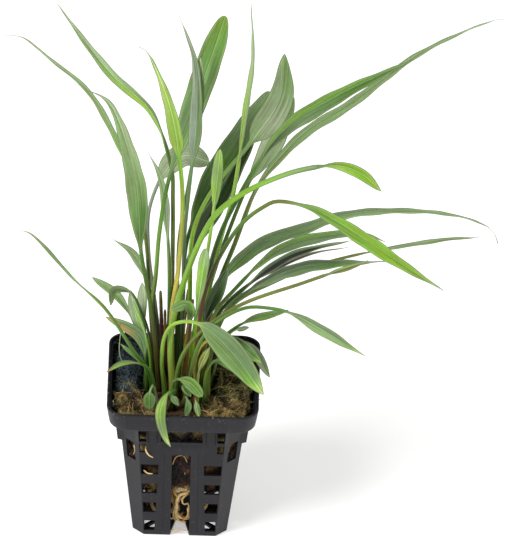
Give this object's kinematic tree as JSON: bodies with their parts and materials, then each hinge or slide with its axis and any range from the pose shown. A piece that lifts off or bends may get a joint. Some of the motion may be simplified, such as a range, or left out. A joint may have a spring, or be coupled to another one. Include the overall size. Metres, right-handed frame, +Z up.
{
  "type": "potted cryptocoryne",
  "caption": "Potted water plant: long, narrow, arching leaves rise in a loose clump from a crown in a rock wool plug, held in a black square net pot with slots for the roots.",
  "frame": {"origin": "centre of the pot's underside, on the surface it stands on", "axes": "+Z up, the pot's front face looks along -Y, and the longest leaves lean towards +X"},
  "size_m": [0.1804, 0.1046, 0.21],
  "materials": {
    "black_plastic": "satin moulded polypropylene",
    "rock_wool": "damp mineral wool with algae",
    "crown_skin": "rough brown leaf bases",
    "root": "cream root skin",
    "leaf_green": "satin mid-green leaf",
    "leaf_dark": "satin dark green leaf",
    "leaf_grey": "grey-green leaf underside",
    "leaf_lime": "satin yellow-green leaf",
    "leaf_pale": "pale leaf underside",
    "leaf_brown": "dying leaf, browned"
  },
  "bodies": {
    "root": {"net_pot": "black_plastic", "rock_wool_plug": "rock_wool", "crown": "crown_skin", "leaf_wisp_far_left": "leaf_grey", "leaf_high_left": "leaf_lime", "leaf_left_broad": "leaf_grey", "leaf_lime_upright": "leaf_lime", "leaf_grey_vertical": "leaf_grey", "leaf_top_broad": "leaf_green", "leaf_narrow_mid": "leaf_pale", "leaf_far_back": "leaf_pale", "leaf_tall_thin": "leaf_lime", "leaf_dark_diagonal": "leaf_dark", "leaf_dark_lower": "leaf_dark", "leaf_pale_wide": "leaf_pale", "leaf_pale_behind": "leaf_pale", "leaf_long_right": "leaf_green", "leaf_longest_right": "leaf_grey", "leaf_arch_bright": "leaf_lime", "leaf_arch_large": "leaf_lime", "leaf_grey_right": "leaf_grey", "leaf_green_right": "leaf_green", "leaf_dark_right": "leaf_dark", "leaf_thin_right": "leaf_dark", "leaf_broad_right": "leaf_dark", "leaf_far_right": "leaf_grey", "leaf_olive_stalk": "leaf_green", "leaf_droop_right": "leaf_green", "leaf_short_right": "leaf_green", "leaf_hook_right": "leaf_pale", "leaf_front_droop": "leaf_grey", "leaf_behind_droop": "leaf_green", "leaf_grey_low": "leaf_pale", "leaf_wisp_left": "leaf_green", "leaf_grey_left": "leaf_grey", "leaf_small_left": "leaf_green", "leaf_curled_left": "leaf_pale", "leaf_pale_left": "leaf_pale", "leaf_bright_strip": "leaf_lime", "leaf_browned": "leaf_brown", "leaf_low_left": "leaf_green", "leaf_short_back": "leaf_green", "leaf_orange_tip": "leaf_lime", "leaf_oval": "leaf_lime", "leaf_over_rim": "leaf_lime", "leaf_crown_front": "leaf_lime", "leaf_plantlet_left": "leaf_green", "leaf_plantlet_right": "leaf_lime", "leaf_yellow_short": "leaf_lime", "leaf_low_arch": "leaf_green", "leaf_folded": "leaf_dark", "leaf_short_bright": "leaf_lime", "leaf_upright_mid": "leaf_lime", "leaf_dark_short": "leaf_dark", "leaf_mid_left": "leaf_grey", "root_front_loop": "root", "root_front_thick": "root", "root_left_side": "root", "root_right_side": "root", "root_back_loop": "root"}
  },
  "joints": []
}
